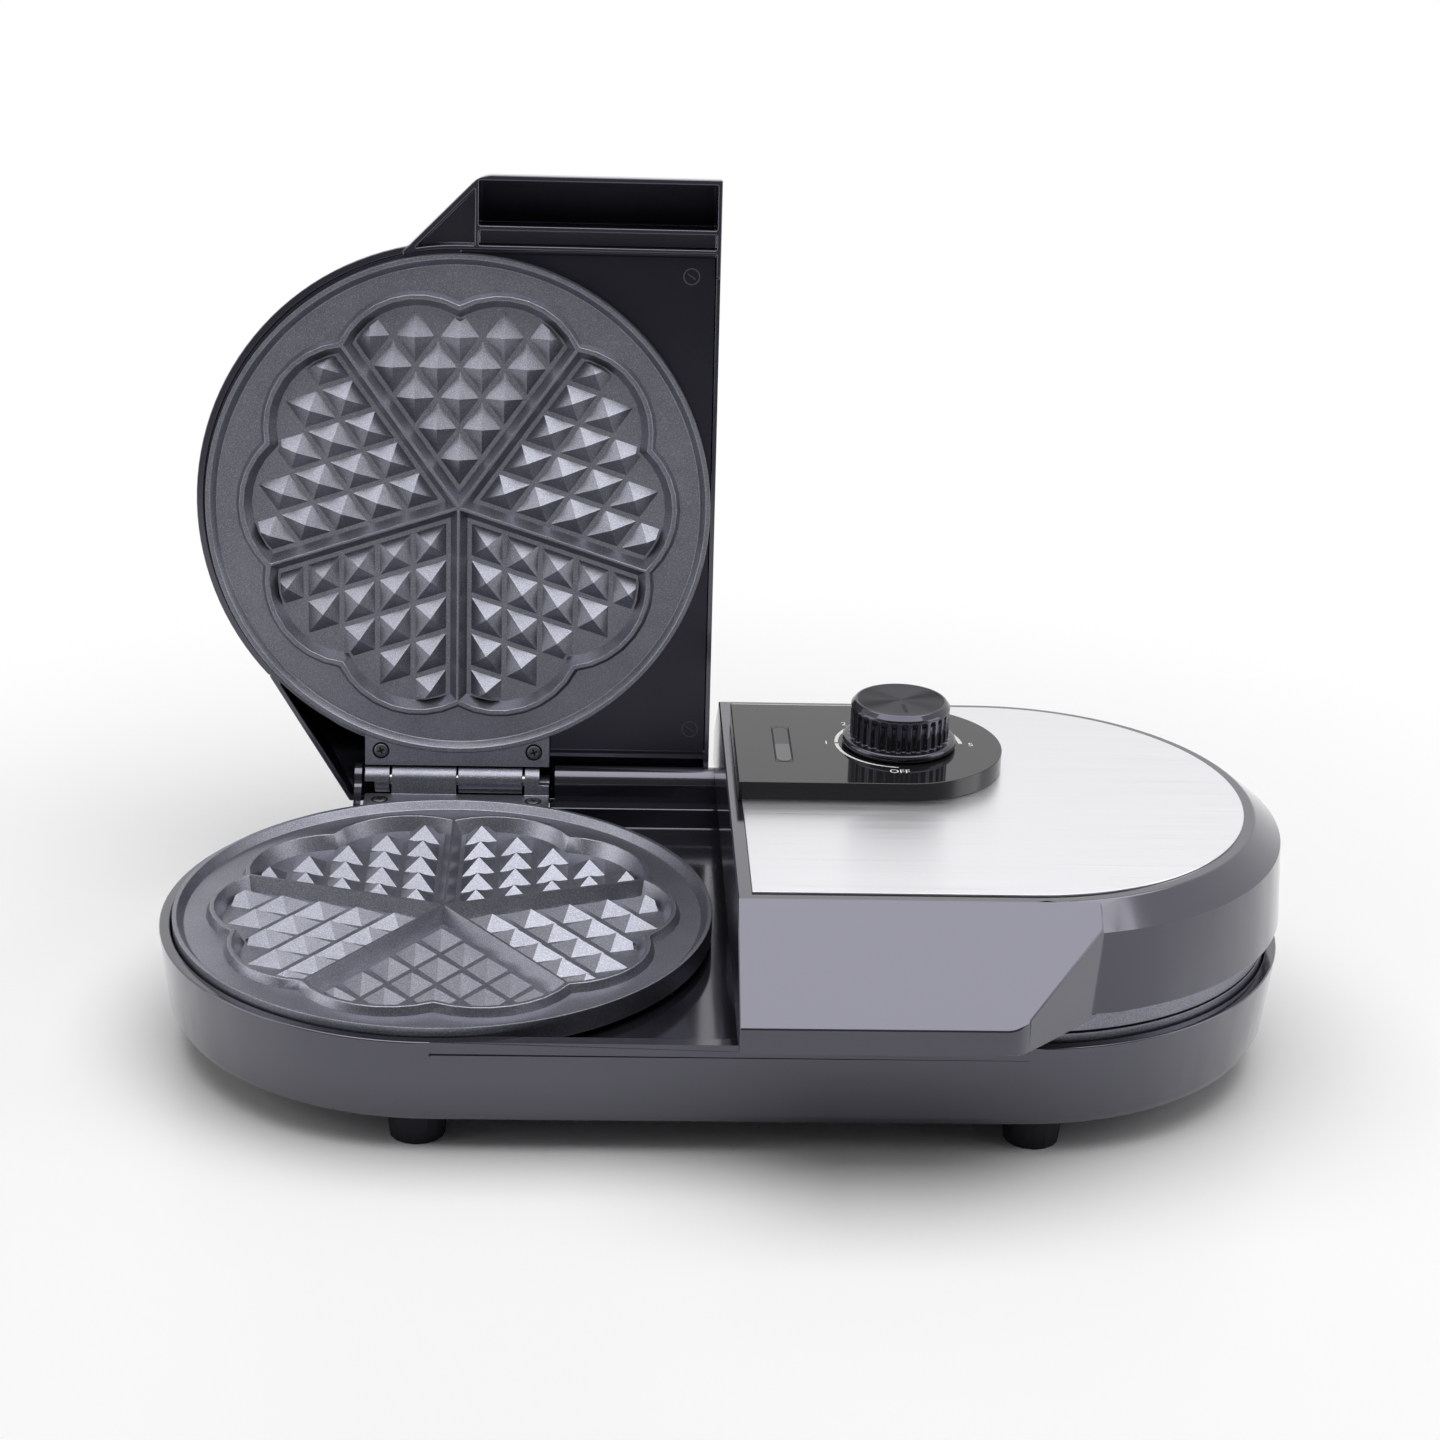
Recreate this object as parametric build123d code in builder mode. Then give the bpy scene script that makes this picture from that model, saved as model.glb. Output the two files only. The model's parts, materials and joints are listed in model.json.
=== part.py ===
"""Twin five-heart waffle maker: two irons side by side on one base, left lid open, right lid shut.

Millimetres. +X to the right, +Y to the rear, +Z up. The origin is on the standing surface, under the
middle of the whole object as it stands with its left lid open. Plans of either iron are written with x
away from the middle of the object, and mirrored for the left iron by its side, -1.
"""

from build123d import *
from math import acos, cos, degrees, radians, sin, sqrt, tan
import os

os.makedirs("parts", exist_ok=True)

# Overall layout
iron_pitch = 214.6  # between the centres of the two irons
parting_height = 50.8  # standing surface to the plane where the plates meet
plate_gap = 0.8  # between the rims of a shut pair of plates
lid_gap = 2.2  # between the two lids, along the middle
open_angle = 98.0  # travel of a lid from shut to its stop
running = 0.05  # radial clearance of a turning fit
seat = 0.3  # clearance between pieces that are dropped into each other
wall = 2.4  # moulded wall

# Cast plate, heights from the plane of its rim
plate_radius = 104.0
plate_height = 9.0
rim_radius = 102.2  # inner edge of the rim's flat top
land_radius = 99.8
land_depth = 3.3
lobe_centre = 54.3  # plate centre to the centre of each lobe's arc
lobe_radius = 35.9  # outer edge of the ridge round the hearts
ridge_draft = 24.0
ridge_width = 1.8
heart_depth = 5.8
heart_draft = 27.0
divider_width = 1.0
hearts = 5
pyramid_spacing = 14.8  # between neighbouring rows, square to the rows
pyramid_lane = 2.1  # flat lane between rows
pyramid_height = 4.8
pyramid_rows = 6
first_pyramid = 19.8  # plate centre to the first apex of a heart
pyramid_margin = 1.1  # flat border between a heart's side and its pyramids
pyramids_per_heart = 15
lobe_steps = 8  # straight stretches in the arc of a lobe
sink = 0.4  # depth to which an added solid reaches into the one that carries it

# Hinge
hinge_y = 116.3  # plate centre to hinge line
hinge_z = 3.3  # hinge line above the parting plane
knuckle_radius = 5.75
pin_radius = 2.5
pin_length = 68.0
long_knuckle = (-27.4, -0.4)
short_knuckle = (28.4, 38.7)
notch_length = 4.1
lug_half_width = 38.7
lug_top = -0.6
lug_bottom = -7.0
lug_clearance = 0.65  # end of a lug to the other plate's knuckles
lug_screws = [(-32.1, 103.6), (32.1, 103.6)]
web_end = 1.0  # underside of a knuckle's web to the hinge line
web_angle = 20.0  # where the web meets the knuckle, below the hinge line

# Heating element and heat shield, on the back of each plate
heater_radius = 62.0
heater_width = 7.0
heater_height = 6.0
stud_width = 14.0
stud_length = 9.0
shield_radius = 84.0
shield_thickness = 0.8
shield_sides = 8

# Base, heights from the standing surface
base_radius = 109.0
base_draft = 3.2  # the wall runs in by this much down to its foot
base_bottom = 13.2
rim_height = 47.2
groove_height = 41.9
groove_width = 1.0
groove_depth = 0.8
bevel_height = 4.2
bevel_run = 2.4
well_clearance = 0.7  # plate to the rim round it
deck_half_depth = 103.0  # half of the flat deck between the irons, front to rear
deck_height = 38.4
deck_thickness = 2.4
well_radius = 96.0  # across the corners of the well under a plate, shaped like the shield
well_floor_clearance = 2.0  # under the lower heat shield
pad_size = 8.0
pad_circle = 96.5
pad_angles = (-150, -90, -30)
bay_half_depth = 73.0  # half of the bay for the wiring, front to rear
bay_end = 84.0  # iron's centre to the end of the bay
bay_corner = 40.0
hinge_bar_radius = 6.5
bar_clearance = 2.4  # end of a lug to the hinge bar
bracket_rear = 2.7  # hinge line to the rear face of what carries the bar
bracket_bottom = 36.0
bracket_foot = 28.0
lug_seat_end = 109.6
bracket_front = 106.0
bracket_root = 99.0  # inner end of the ears and lug seats, inside the wall
lug_notch_start = 95.0
ear_thickness = 3.0
ear_clearance = 1.2
foot_radius = 10.2  # on the ground
foot_draft = 5.6
foot_sides = 16
foot_x = 113.0
foot_y = 88.0
panel_thickness = 2.0
panel_ledge = 3.0
vent_size = (36.0, 3.0)
vent_spacing = (150.0, 9.0)
vent_count = (2, 5)
inlet_height = 23.0
inlet_width = 12.0
inlet_bore = 7.0
inlet_reach = 109.4
terminal_size = (34.0, 16.0, 13.0)
terminal_y = 60.0

# Lid, heights from the parting plane
skirt_bottom = 9.0
skirt_radius = 108.6
bevel_foot_radius = 106.4
top_rim_radius = 96.0
top_rim_height = 48.3
lip_top = 16.95  # front edge of the slope that bevel, handle and cowl share
cover_radius = 91.8
cover_inset = 5.2  # lid's inner wall to the steel
steel_thickness = 0.8
handle_reach = 135.7
handle_corner = -8.0  # from the plate centre, away from the middle
handle_corner_radius = 12.0
flank_start = 104.2  # depth at which the handle's slanting flank starts
lip_bottom = 7.2
lip_wall = 2.4
rib_x = -6.5
rib_width = 1.6
pocket_rear = 115.4
slot_front = 113.2
slot_height = 8.0
cowl_reach = 128.0
cowl_corner = 46.0
cowl_start_angle = 43.0
cowl_clearance = 0.9  # hinge bar to the lid's inner wall
liner_level = 9.6
liner_thickness = 2.0
liner_reach = 104.0
liner_opening = 96.0
chamber_mouth = 105.6
chamber_sides = 12
partition_wall = 1.8
chamber_half_depth = 93.0
side_wall = 1.8  # of the lid, along the middle
post_width = 6.6
post_height = 30.0
post_zone = 98.0
post_clearance = 0.2  # lug to the post that carries it

# Console and knob
console_centre = (-38.0, 31.4)
console_radius = 40.6
console_inset = 3.6
console_height = 7.6
lens_centre = (-84.0, 29.4)
lens_size = (6.6, 36.0)
lens_depth = 3.0
lens_split = 0.5
lens_clearance = 0.1
flange_radius = 22.3
flange_height = 3.4
knob_radius = 19.4
knob_height = 18.4
crown_height = 1.6
crown_radius = 18.2
knob_sides = 32
flutes = 30
flute_depth = 0.9
shaft_radius = 3.0
hole_sides = 12
shaft_tip = 8.0  # length of the shaft inside the switch
switch_size = (30.0, 34.0, 13.0)

# Values worked out from the above
half_pitch = iron_pitch / 2
hinge_sine = sin(radians(open_angle))
hinge_cosine = cos(radians(open_angle))
steel_top = top_rim_height + steel_thickness
ceiling = top_rim_height - wall
console_top = steel_top + console_height
knob_bottom = console_top + seat
knob_top = knob_bottom + knob_height
front_y = -handle_reach
rear_y = (hinge_y + (console_centre[1] - crown_radius - hinge_y) * hinge_cosine
          + (knob_top - hinge_z) * hinge_sine)
iron_y = -(front_y + rear_y) / 2
inner_wall = half_pitch - lid_gap / 2  # plate centre to the lid's inner wall
slope = (top_rim_height - lip_top) / (handle_reach - top_rim_radius)
roof_drop = wall * sqrt(1 + slope ** 2)
handle_flank = handle_corner + handle_reach - flank_start
chamber_radius = plate_radius + well_clearance
partition_radius = chamber_mouth + partition_wall
heart_angle = 360 / hearts
heart_foot = heart_depth * tan(radians(heart_draft))
shield_level = -plate_height - stud_length
lug_seat_height = parting_height - plate_gap / 2 + lug_bottom
post_bottom = plate_gap / 2 - lug_bottom + post_clearance
pad_top = parting_height - plate_gap / 2 - plate_height
well_floor = parting_height - plate_gap / 2 + shield_level - shield_thickness - well_floor_clearance
base = Plane((0, iron_y, 0))


def sided(side):
    """Name ending of the iron on this side."""
    return "right" if side > 0 else "left"


def level(upper):
    """Name beginning of a plate or what is on its back."""
    return "upper" if upper else "lower"


def finish(piece, name):
    """Label a finished piece and write it."""
    piece.part.label = name
    export_step(piece.part, f"parts/{name}.step")


def bevel_height_at(radius):
    """Height of the sloping part of the lid at a radius, or at a depth in front of the iron's centre."""
    return top_rim_height - (radius - top_rim_radius) * slope


def iron_frame(side):
    """Frame of one iron on the standing surface."""
    return Plane((side * half_pitch, iron_y, 0))


def lid_hinge_frame(side):
    """Frame of an iron at its parting plane, which its hinge pin keeps in every position of the lid."""
    return Plane((side * half_pitch, iron_y, parting_height))


def lid_frame(side):
    """Frame of a lid: plate centre, parting plane, +Z out of the lid's top. The left lid is open."""
    if side > 0:
        return Plane((half_pitch, iron_y, parting_height))
    y = iron_y + hinge_y - hinge_y * hinge_cosine - hinge_z * hinge_sine
    z = parting_height + hinge_z + hinge_y * hinge_sine - hinge_z * hinge_cosine
    return Plane((-half_pitch, y, z), x_dir=(1, 0, 0), z_dir=(0, hinge_sine, hinge_cosine))


def plate_frame(side, upper):
    """Frame of a cast plate: its rim plane, with +Z out of the baking face."""
    if not upper:
        return Plane((side * half_pitch, iron_y, parting_height - plate_gap / 2))
    lid = lid_frame(side)
    return Plane(lid.from_local_coords(Vector(0, 0, plate_gap / 2)), x_dir=-lid.x_dir, z_dir=-lid.z_dir)


def plan(side, points):
    """Plan points written with x away from the middle of the object."""
    return [(side * x, y) for x, y in points]


def plan_pair(side, pair):
    """Two places across the frame, written away from the middle."""
    return side * pair[0], side * pair[1]


def cross_plane(frame, x):
    """Plane across a frame, where x runs to the rear and y runs up."""
    return Plane(frame.from_local_coords(Vector(x, 0, 0)), x_dir=frame.y_dir, z_dir=frame.x_dir)


def bar(frame, x_one, x_two, points, mode=Mode.ADD):
    """Prism of a rear-and-up outline between two places across the frame."""
    with BuildSketch(cross_plane(frame, min(x_one, x_two))) as outline:
        Polygon(*points, align=None)
    extrude(outline.sketch, amount=abs(x_two - x_one), mode=mode)


def rod(frame, x_one, x_two, y, z, radius, mode=Mode.ADD):
    """Cylinder across the frame between two places."""
    with BuildSketch(cross_plane(frame, min(x_one, x_two))) as outline:
        with Locations((y, z)):
            Circle(radius)
    extrude(outline.sketch, amount=abs(x_two - x_one), mode=mode)


def columns(frame, places, low, high, radius, mode=Mode.ADD):
    """Cylinders that stand along the frame's own up direction."""
    with BuildSketch(frame.offset(low)) as outline:
        with Locations(*places):
            Circle(radius)
    extrude(outline.sketch, amount=high - low, mode=mode)


def block(frame, x_one, x_two, y_one, y_two, low, high, mode=Mode.ADD):
    """Box between two corners of the frame."""
    with BuildSketch(frame.offset(low)) as outline:
        Polygon((x_one, y_one), (x_two, y_one), (x_two, y_two), (x_one, y_two), align=None)
    extrude(outline.sketch, amount=high - low, mode=mode)


def round_end(frame, side, profile, mode=Mode.ADD):
    """Half turn of a radius-and-height profile, on the side away from the middle."""
    section = Plane(frame.origin, x_dir=frame.y_dir * -side, z_dir=frame.x_dir * -side)
    with BuildSketch(section) as outline:
        Polygon((0, profile[0][1]), *profile, (0, profile[-1][1]), align=None)
    revolve(outline.sketch, axis=Axis(frame.origin, frame.z_dir), revolution_arc=180, mode=mode)


def straight_run(frame, x_one, x_two, profile, mode=Mode.ADD):
    """The same profile, front and rear, drawn out straight between two places."""
    bar(frame, x_one, x_two, profile + [(-y, z) for y, z in reversed(profile)], mode)


def turned(frame, profile, mode=Mode.ADD):
    """Full turn of a radius-and-height profile."""
    with BuildSketch(Plane(frame.origin, x_dir=frame.x_dir, z_dir=-frame.y_dir)) as outline:
        Polygon((0, profile[0][1]), *profile, (0, profile[-1][1]), align=None)
    revolve(outline.sketch, axis=Axis(frame.origin, frame.z_dir), mode=mode)


def lobe_points(radius):
    """Points of the scalloped outline round all the hearts: ten arcs that meet in sharp notches."""
    lobe_angle = heart_angle / 2
    half_arc = 90 + lobe_angle / 2 - degrees(acos(lobe_centre * sin(radians(lobe_angle / 2)) / radius))
    points = []
    for lobe in range(2 * hearts):
        outward = -90 + lobe_angle * (lobe + 0.5)
        middle = Vector(lobe_centre, 0, 0).rotate(Axis.Z, outward)
        for step in range(lobe_steps):
            turn = outward + half_arc * (2 * step / lobe_steps - 1)
            point = middle + Vector(radius, 0, 0).rotate(Axis.Z, turn)
            points.append((point.X, point.Y))
    return points


def heart_outline(radius, divider_half):
    """Outline of the front heart: two lobes, cut to a wedge by the dividers on its two sides."""
    half_angle = radians(heart_angle / 2)
    tip = divider_half / sin(half_angle)
    edge = plate_radius * tan(half_angle)
    Polygon(*lobe_points(radius), align=None)
    Polygon((0, -tip), (-edge, -tip - plate_radius), (edge, -tip - plate_radius), align=None,
            mode=Mode.INTERSECT)


def pointed_rows(turn):
    """Rows of pointed ridges that run along one divider of the front heart."""
    half_angle = -turn * heart_angle / 2
    first = first_pyramid * sin(radians(heart_angle / 2))
    flank = (pyramid_spacing - pyramid_lane) / 2
    foot = flank * (pyramid_height + sink) / pyramid_height
    apex = pyramid_height - heart_depth
    floor = -heart_depth - sink
    across = Vector(turn, 0, 0).rotate(Axis.Z, half_angle)
    with BuildPart() as rows:
        with BuildSketch(Plane((0, 0, 0), x_dir=across, z_dir=across.cross(Vector(0, 0, 1)))):
            for row in range(pyramid_rows):
                middle = first + row * pyramid_spacing
                Polygon((middle - foot, floor), (middle + foot, floor), (middle, apex), align=None)
        extrude(amount=2 * plate_radius, both=True)
    return rows


# The ridge round all the hearts, from the plane of the rim down to the land and a little into it
with BuildPart() as ridge:
    with BuildSketch():
        Polygon(*lobe_points(lobe_radius), align=None)
    extrude(amount=-land_depth - sink)
    draft(ridge.faces().filter_by(Axis.Z, reverse=True), Plane.XY, ridge_draft)

# The pocket of the front heart
with BuildPart() as heart_pocket:
    with BuildSketch():
        heart_outline(lobe_radius - ridge_width, divider_width / 2)
    extrude(amount=-heart_depth)
    draft(heart_pocket.faces().filter_by(Axis.Z, reverse=True), Plane.XY, -heart_draft)

# The pointed blocks on its floor; the slivers left at the tips of its lobes are dropped
row_sets = [pointed_rows(turn) for turn in (-1, 1)]
with BuildPart() as heart_blocks:
    with BuildSketch(Plane.XY.offset(-heart_depth - sink)):
        heart_outline(lobe_radius - ridge_width - heart_foot - pyramid_margin,
                      divider_width / 2 + heart_foot + pyramid_margin)
    extrude(amount=pyramid_height + sink)
    for rows in row_sets:
        add(rows.part, mode=Mode.INTERSECT)
pyramids = heart_blocks.part.solids().sort_by(SortBy.VOLUME)[-pyramids_per_heart:]

# What all four plates have in common, with the plane of the rim at zero height
lug_end = hinge_y - knuckle_radius - lug_clearance
with BuildPart() as casting:
    turned(Plane.XY, [(plate_radius, -plate_height), (plate_radius, 0), (rim_radius, 0),
                      (land_radius, -land_depth)])
    add(ridge.part)
    with PolarLocations(0, hearts):
        add(heart_pocket.part, mode=Mode.SUBTRACT)
    with PolarLocations(0, hearts):
        add(pyramids)
    with BuildSketch(Plane.XY.offset(lug_bottom)):
        Polygon((-lug_half_width, land_radius / 2), (lug_half_width, land_radius / 2),
                (lug_half_width, lug_end), (-lug_half_width, lug_end), align=None)
        Circle(rim_radius + sink, mode=Mode.SUBTRACT)
    extrude(amount=lug_top - lug_bottom)
    with BuildSketch(Plane.XY.offset(shield_level)):
        Rectangle(stud_width, stud_width)
    extrude(amount=stud_length)


def cast_plate(frame, upper):
    """A cast plate with the knuckles of its own half of the hinge."""
    axis_z = plate_gap / 2 - hinge_z if upper else plate_gap / 2 + hinge_z
    with Locations(frame):
        add(casting.part)
    for low, high in (long_knuckle, short_knuckle):
        rod(frame, low, high, hinge_y, axis_z, knuckle_radius)
        bar(frame, low, high, [
            (lug_end - sink, lug_top), (lug_end - sink, lug_bottom), (hinge_y - web_end, lug_bottom),
            (hinge_y + knuckle_radius * cos(radians(web_angle)),
             axis_z - knuckle_radius * sin(radians(web_angle))),
            (hinge_y, axis_z), (hinge_y - knuckle_radius, axis_z)])
    outer = short_knuckle[1]
    around = 2 * knuckle_radius
    if upper:
        block(frame, outer - notch_length, outer, hinge_y, hinge_y + around,
              axis_z - around, axis_z + around, Mode.SUBTRACT)
    else:
        block(frame, outer - notch_length, outer, hinge_y - around, hinge_y + around,
              axis_z, axis_z + around, Mode.SUBTRACT)
    rod(frame, -lug_half_width, lug_half_width, hinge_y, axis_z, pin_radius + running, Mode.SUBTRACT)


def build_lower_plates():
    """The lower plates of both irons, cast alike."""
    with BuildPart() as plates:
        for side in (-1, 1):
            cast_plate(plate_frame(side, False), False)
    finish(plates, "lower_plates")


def build_upper_plate(side):
    """The plate in one lid."""
    with BuildPart() as plate:
        cast_plate(plate_frame(side, True), True)
    finish(plate, f"upper_plate_{sided(side)}")


def build_heater(side, upper):
    """Heating element: a five-sided ring against the back of the plate."""
    with BuildPart() as heater:
        with BuildSketch(plate_frame(side, upper).offset(-plate_height - heater_height)) as ring:
            RegularPolygon(heater_radius + heater_width / 2, hearts, major_radius=False)
            RegularPolygon(heater_radius - heater_width / 2, hearts, major_radius=False, mode=Mode.SUBTRACT)
        extrude(ring.sketch, amount=heater_height)
    finish(heater, f"{level(upper)}_heater_{sided(side)}")


def build_shield(side, upper):
    """Thin sheet on the plate's stud that keeps the heat off the moulded housing."""
    with BuildPart() as shield:
        with BuildSketch(plate_frame(side, upper).offset(shield_level - shield_thickness)) as sheet:
            RegularPolygon(shield_radius, shield_sides)
        extrude(sheet.sketch, amount=shield_thickness)
    finish(shield, f"{level(upper)}_shield_{sided(side)}")


def build_hinge_pins():
    """The two steel pins, carried by the lower plates' knuckles."""
    with BuildPart() as pins:
        for side in (-1, 1):
            rod(lid_hinge_frame(side), -pin_length / 2, pin_length / 2, hinge_y, hinge_z, pin_radius)
    finish(pins, "hinge_pins")


def build_base():
    """The moulded tub: rim, deck, plate wells, wiring bay, hinge bar and lug seats."""
    foot_wall = base_radius - base_draft
    outside = [(foot_wall - bevel_run, base_bottom), (foot_wall, base_bottom + bevel_height),
               (base_radius, rim_height)]
    axis_height = parting_height + hinge_z
    bar_end = half_pitch - lug_half_width - bar_clearance
    ear = (lug_half_width + ear_clearance, lug_half_width + ear_clearance + ear_thickness)
    deck_bottom = deck_height - deck_thickness
    with BuildPart() as shell:
        for side in (-1, 1):
            round_end(iron_frame(side), side, outside)
        straight_run(base, -half_pitch, half_pitch, outside)
        rod(base, -bar_end, bar_end, hinge_y, axis_height, hinge_bar_radius)
        bar(base, -bar_end, bar_end, [
            (bracket_front, bracket_foot), (hinge_y + bracket_rear, bracket_bottom),
            (hinge_y + bracket_rear, axis_height), (hinge_y - hinge_bar_radius, axis_height),
            (hinge_y - hinge_bar_radius, rim_height), (bracket_front, rim_height)])
        for side in (-1, 1):
            frame = iron_frame(side)
            rod(frame, *plan_pair(side, ear), hinge_y, axis_height, hinge_bar_radius)
            bar(frame, *plan_pair(side, ear), [
                (bracket_root, bracket_foot), (hinge_y + bracket_rear, bracket_bottom),
                (hinge_y + bracket_rear, axis_height), (hinge_y - hinge_bar_radius, axis_height),
                (bracket_root, rim_height)])
            bar(frame, -lug_half_width, lug_half_width, [
                (bracket_root, bracket_foot), (lug_seat_end, bracket_bottom),
                (lug_seat_end, lug_seat_height), (bracket_root, lug_seat_height)])
        block(base, -inlet_width / 2, inlet_width / 2, bracket_root, inlet_reach,
              inlet_height - inlet_width / 2, inlet_height + inlet_width / 2)
        for turn in (-1, 1):
            edge = turn * base_radius
            bar(base, -half_pitch, half_pitch, [
                (edge + turn, groove_height - groove_width / 2),
                (edge - turn * groove_depth, groove_height),
                (edge + turn, groove_height + groove_width / 2)], Mode.SUBTRACT)
        with BuildSketch(base.offset(deck_height)) as pocket:
            Rectangle(iron_pitch, 2 * deck_half_depth)
            with Locations((-half_pitch, 0), (half_pitch, 0)):
                Circle(chamber_radius)
        extrude(pocket.sketch, amount=rim_height - deck_height, mode=Mode.SUBTRACT)
        for side in (-1, 1):
            frame = iron_frame(side)
            block(frame, -lug_half_width - seat, lug_half_width + seat, lug_notch_start, hinge_y,
                  lug_seat_height, rim_height + sink, Mode.SUBTRACT)
            with BuildSketch(frame.offset(well_floor)) as well:
                RegularPolygon(well_radius, shield_sides, rotation=180 / shield_sides)
            extrude(well.sketch, amount=deck_height - well_floor, mode=Mode.SUBTRACT)
        with BuildSketch(base.offset(base_bottom)) as bay:
            panel_outline(panel_ledge)
        extrude(bay.sketch, amount=deck_bottom - base_bottom, mode=Mode.SUBTRACT)
        block(base, -inlet_bore / 2, inlet_bore / 2, bay_half_depth - sink, inlet_reach + sink,
              inlet_height - inlet_bore / 2, inlet_height + inlet_bore / 2, Mode.SUBTRACT)
        with BuildSketch(base.offset(base_bottom)) as panel_seat:
            panel_outline(0)
        extrude(panel_seat.sketch, amount=panel_thickness, mode=Mode.SUBTRACT)
        for side in (-1, 1):
            for angle in pad_angles:
                spot = Vector(pad_circle, 0, 0).rotate(Axis.Z, angle)
                block(iron_frame(side), spot.X - pad_size / 2, spot.X + pad_size / 2,
                      spot.Y - pad_size / 2, spot.Y + pad_size / 2, deck_bottom, pad_top)
    finish(shell, "base_shell")


def panel_outline(clearance):
    """Outline of the underside panel: a long rectangle with its corners cut off."""
    half_length = half_pitch + bay_end + panel_ledge - clearance
    half_depth = bay_half_depth + panel_ledge - clearance
    cut = bay_corner - clearance
    Polygon((half_length, half_depth - cut), (half_length - cut, half_depth), (cut - half_length, half_depth),
            (-half_length, half_depth - cut), (-half_length, cut - half_depth),
            (cut - half_length, -half_depth), (half_length - cut, -half_depth),
            (half_length, cut - half_depth), align=None)


def build_base_panel():
    """Underside panel with its vents."""
    with BuildPart() as panel:
        with BuildSketch(base.offset(base_bottom)) as outline:
            panel_outline(seat)
            with GridLocations(*vent_spacing, *vent_count):
                Rectangle(*vent_size, mode=Mode.SUBTRACT)
        extrude(outline.sketch, amount=panel_thickness)
    finish(panel, "base_panel")


def build_feet():
    """Four rubber feet, tapered towards the ground."""
    with BuildPart() as feet:
        with BuildSketch(base) as soles:
            with GridLocations(2 * foot_x, 2 * foot_y, 2, 2):
                RegularPolygon(foot_radius, foot_sides)
        extrude(soles.sketch, amount=base_bottom, taper=-foot_draft)
    finish(feet, "feet")


def build_terminals():
    """Mains terminals on the underside panel, inside the cord's inlet."""
    length, depth, height = terminal_size
    with BuildPart() as terminals:
        level_low = base_bottom + panel_thickness
        block(base, -length / 2, length / 2, terminal_y - depth / 2, terminal_y + depth / 2,
              level_low, level_low + height)
    finish(terminals, "terminal_block")


def handle_block(side):
    """Solid form of the handle: a panel that carries on the bevel's slope, down to a lip."""
    frame = lid_frame(side)
    corner = plan(side, [(handle_corner, -handle_reach)])[0]
    with BuildPart() as handle:
        with BuildSketch(frame.offset(lip_bottom)) as outline:
            Polygon(*plan(side, [(-inner_wall, -top_rim_radius), (handle_flank, -top_rim_radius),
                                 (handle_flank, -flank_start), (handle_corner, -handle_reach),
                                 (-inner_wall, -handle_reach)]), align=None)
            fillet(outline.vertices().sort_by_distance((*corner, 0))[0], handle_corner_radius)
        extrude(outline.sketch, amount=top_rim_height - lip_bottom)
        bar(frame, -side * inner_wall, side * handle_flank, [
            (-top_rim_radius, lip_bottom), (-handle_reach, lip_bottom),
            (-handle_reach, bevel_height_at(handle_reach)), (-top_rim_radius, top_rim_height)],
            Mode.INTERSECT)
    return handle


def under_roof(side, drop):
    """Everything under the slope that bevel, handle and cowl share, lowered by a drop."""
    frame = lid_frame(side)
    far = cowl_reach + cowl_corner
    roof = [(far, bevel_height_at(far) - far), (far, bevel_height_at(far) - drop),
            (top_rim_radius, top_rim_height - drop)]
    with BuildPart() as cover:
        round_end(frame, side, roof)
        straight_run(frame, -side * inner_wall, 0, roof)
    return cover


def cowl_outline(side):
    """Plan of the rear cowl over the hinge."""
    start = Vector(skirt_radius, 0, 0).rotate(Axis.Z, cowl_start_angle)
    Polygon(*plan(side, [(-inner_wall, start.Y), (start.X, start.Y), (cowl_corner, cowl_reach),
                         (-inner_wall, cowl_reach)]), align=None)


def cowl_hollow(side):
    """Hollow under the cowl, behind the wall round the plate."""
    low = skirt_bottom - sink
    lowered_roof = under_roof(side, roof_drop)
    with BuildPart() as hollow:
        with BuildSketch(lid_frame(side).offset(low)) as outline:
            cowl_outline(side)
            offset(amount=-wall, kind=Kind.INTERSECTION)
            Circle(partition_radius, mode=Mode.SUBTRACT)
            Polygon(*plan(side, [(-inner_wall, 0), (0, 0), (0, partition_radius),
                                 (-inner_wall, partition_radius)]), align=None, mode=Mode.SUBTRACT)
        extrude(outline.sketch, amount=top_rim_height - low)
        add(lowered_roof.part, mode=Mode.INTERSECT)
    return hollow


def shaft_hole(frame, x, y, low, high, clearance):
    """Clearance hole for a knob's shaft."""
    with BuildSketch(frame.offset(low)) as hole:
        with Locations((x, y)):
            RegularPolygon(shaft_radius + clearance, hole_sides, major_radius=False)
    extrude(hole.sketch, amount=high - low, mode=Mode.SUBTRACT)


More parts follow.
